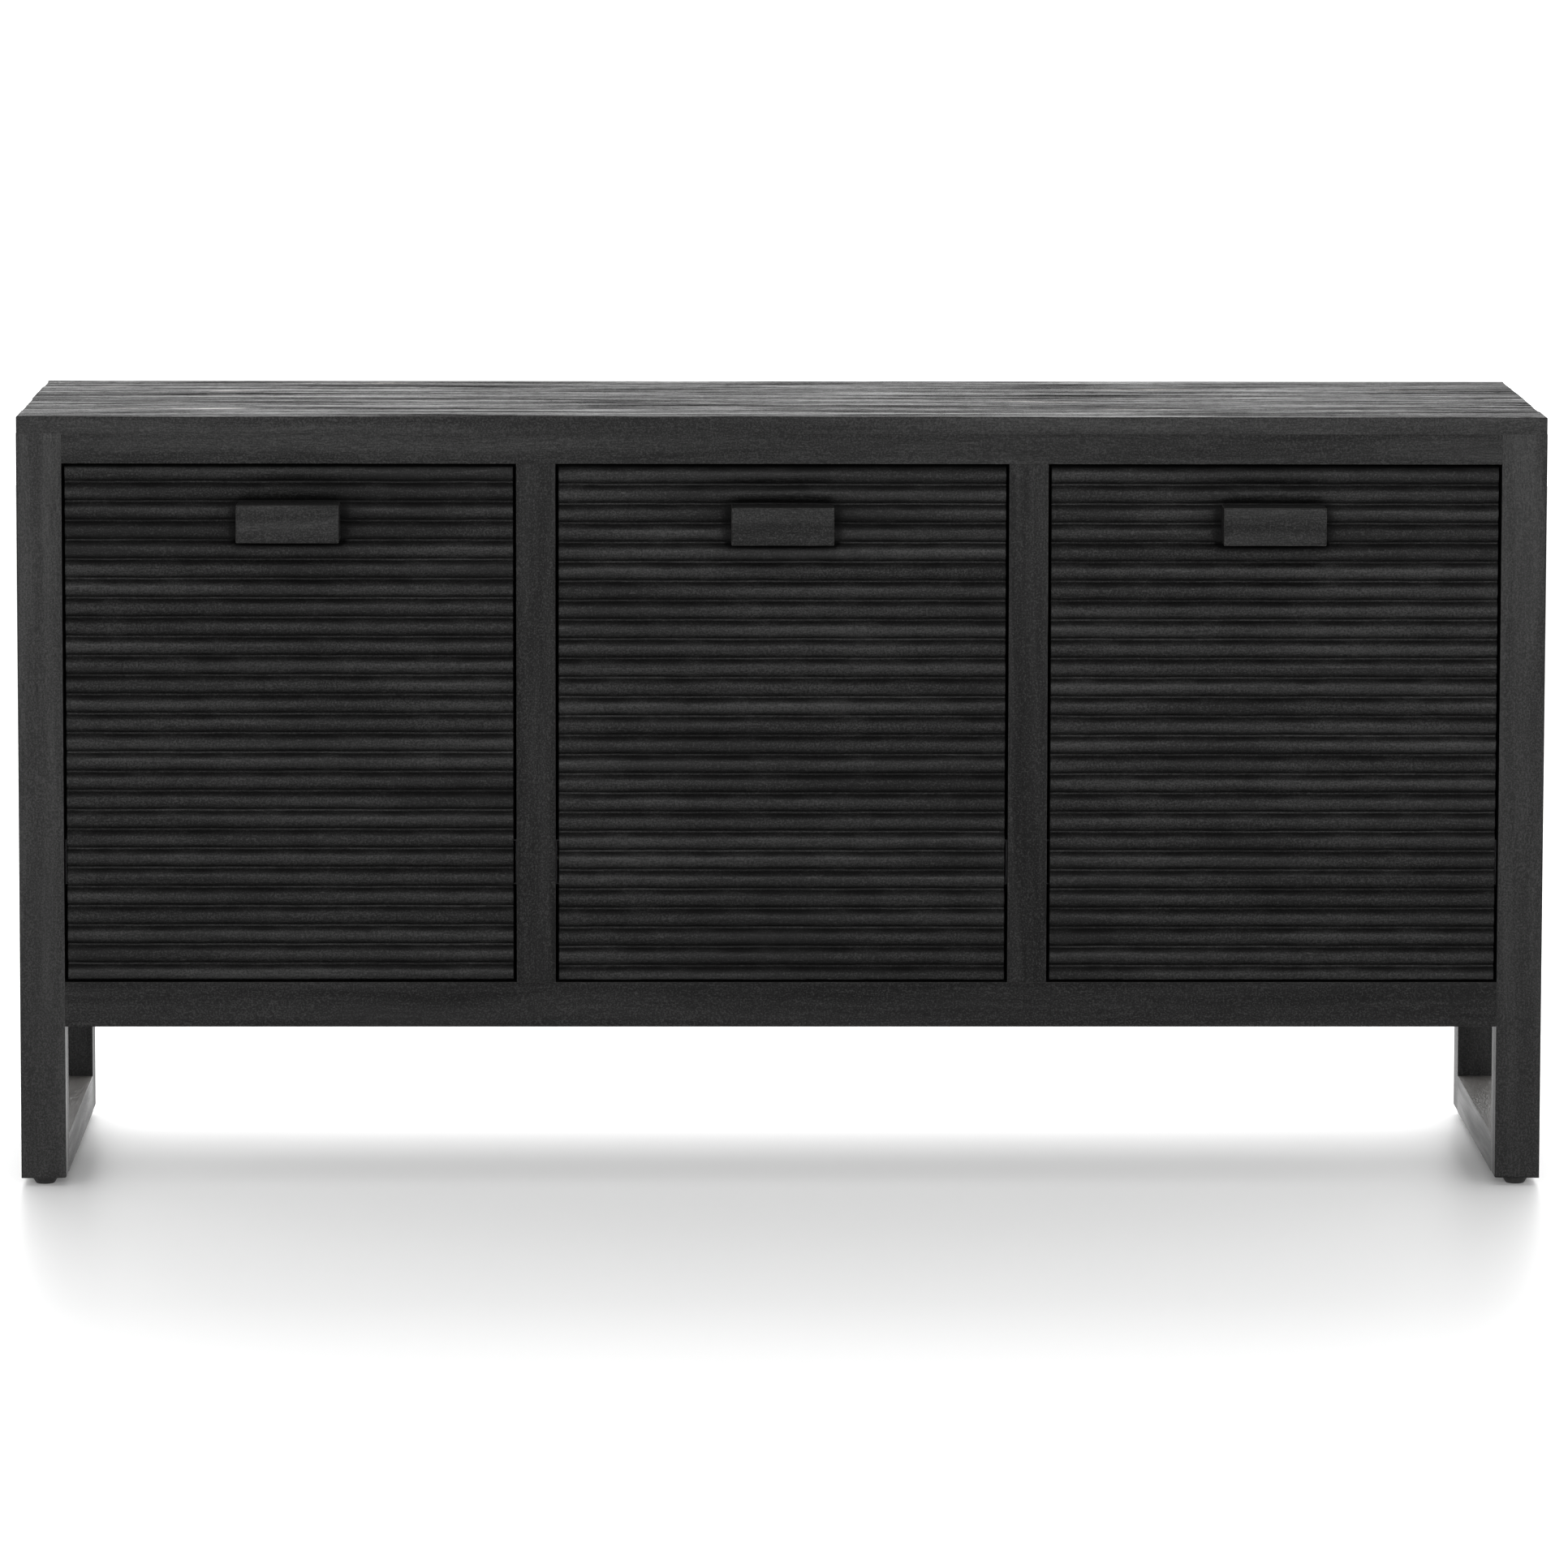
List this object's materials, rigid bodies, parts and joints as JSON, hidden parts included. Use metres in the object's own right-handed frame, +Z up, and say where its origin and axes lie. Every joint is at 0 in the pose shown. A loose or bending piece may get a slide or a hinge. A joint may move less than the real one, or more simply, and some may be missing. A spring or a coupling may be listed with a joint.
{
  "type": "sideboard",
  "caption": "Long, low sideboard with square, horizontally reeded deep drawers in a plain face frame, block handles and a sled base, in black-washed wood.",
  "frame": {"origin": "on the floor, under the middle of the whole object, handles included", "axes": "+X to the right of someone facing the drawers, +Y from the drawers towards the back, +Z up"},
  "size_m": [1.524, 0.522, 0.774],
  "materials": {
    "frame_wood": "black wash on open-pored hardwood, matt to satin",
    "reeded_wood": "black wash on hand-worked reeds, matt to satin",
    "box_wood": "dark stain, matt",
    "inner_wood": "dark stain, matt",
    "slide_steel": "zinc plated, rolled",
    "screw_steel": "zinc plated",
    "glide_plastic": "moulded, matt black"
  },
  "bodies": {
    "case": {"back_panel": "inner_wood", "bottom_panel": "inner_wood", "case_screws": "screw_steel", "floor_runner_left": "frame_wood", "floor_runner_right": "frame_wood", "front_leg_left": "frame_wood", "front_leg_right": "frame_wood", "front_lower_rail": "frame_wood", "front_upper_rail": "frame_wood", "glides": "glide_plastic", "left_outer_slides": "slide_steel", "middle_outer_slides": "slide_steel", "partition_left": "inner_wood", "partition_right": "inner_wood", "rear_leg_left": "frame_wood", "rear_leg_right": "frame_wood", "rear_lower_rail": "frame_wood", "rear_upper_rail": "frame_wood", "right_outer_slides": "slide_steel", "short_screws": "screw_steel", "side_lower_rail_left": "frame_wood", "side_lower_rail_right": "frame_wood", "side_panel_left": "frame_wood", "side_panel_right": "frame_wood", "side_upper_rail_left": "frame_wood", "side_upper_rail_right": "frame_wood", "slide_spacers": "inner_wood", "stile_left": "frame_wood", "stile_right": "frame_wood", "top_board": "frame_wood"},
    "left_drawer": {"left_drawer_box_back": "box_wood", "left_drawer_box_floor": "box_wood", "left_drawer_box_front": "box_wood", "left_drawer_box_left_side": "box_wood", "left_drawer_box_right_side": "box_wood", "left_drawer_front": "reeded_wood", "left_drawer_handle": "frame_wood", "left_drawer_inner_slides": "slide_steel", "left_drawer_screws": "screw_steel"},
    "left_slide": {"left_middle_slides": "slide_steel"},
    "middle_drawer": {"middle_drawer_box_back": "box_wood", "middle_drawer_box_floor": "box_wood", "middle_drawer_box_front": "box_wood", "middle_drawer_box_left_side": "box_wood", "middle_drawer_box_right_side": "box_wood", "middle_drawer_front": "reeded_wood", "middle_drawer_handle": "frame_wood", "middle_drawer_inner_slides": "slide_steel", "middle_drawer_screws": "screw_steel"},
    "middle_slide": {"middle_middle_slides": "slide_steel"},
    "right_drawer": {"right_drawer_box_back": "box_wood", "right_drawer_box_floor": "box_wood", "right_drawer_box_front": "box_wood", "right_drawer_box_left_side": "box_wood", "right_drawer_box_right_side": "box_wood", "right_drawer_front": "reeded_wood", "right_drawer_handle": "frame_wood", "right_drawer_inner_slides": "slide_steel", "right_drawer_screws": "screw_steel"},
    "right_slide": {"right_middle_slides": "slide_steel"}
  },
  "joints": [
    {"name": "left_drawer_pull", "type": "slide", "parent": "case", "child": "left_drawer", "axis": [0, -1, 0], "range_m": [0, 0.4]},
    {"name": "left_slide_travel", "type": "slide", "parent": "case", "child": "left_slide", "axis": [0, -1, 0], "range_m": [0, 0.2]},
    {"name": "middle_drawer_pull", "type": "slide", "parent": "case", "child": "middle_drawer", "axis": [0, -1, 0], "range_m": [0, 0.4]},
    {"name": "middle_slide_travel", "type": "slide", "parent": "case", "child": "middle_slide", "axis": [0, -1, 0], "range_m": [0, 0.2]},
    {"name": "right_drawer_pull", "type": "slide", "parent": "case", "child": "right_drawer", "axis": [0, -1, 0], "range_m": [0, 0.4]},
    {"name": "right_slide_travel", "type": "slide", "parent": "case", "child": "right_slide", "axis": [0, -1, 0], "range_m": [0, 0.2]}
  ],
  "couplings": [
    {"joint": "left_slide_travel", "follows": "left_drawer_pull", "ratio": 0.5},
    {"joint": "middle_slide_travel", "follows": "middle_drawer_pull", "ratio": 0.5},
    {"joint": "right_slide_travel", "follows": "right_drawer_pull", "ratio": 0.5}
  ]
}
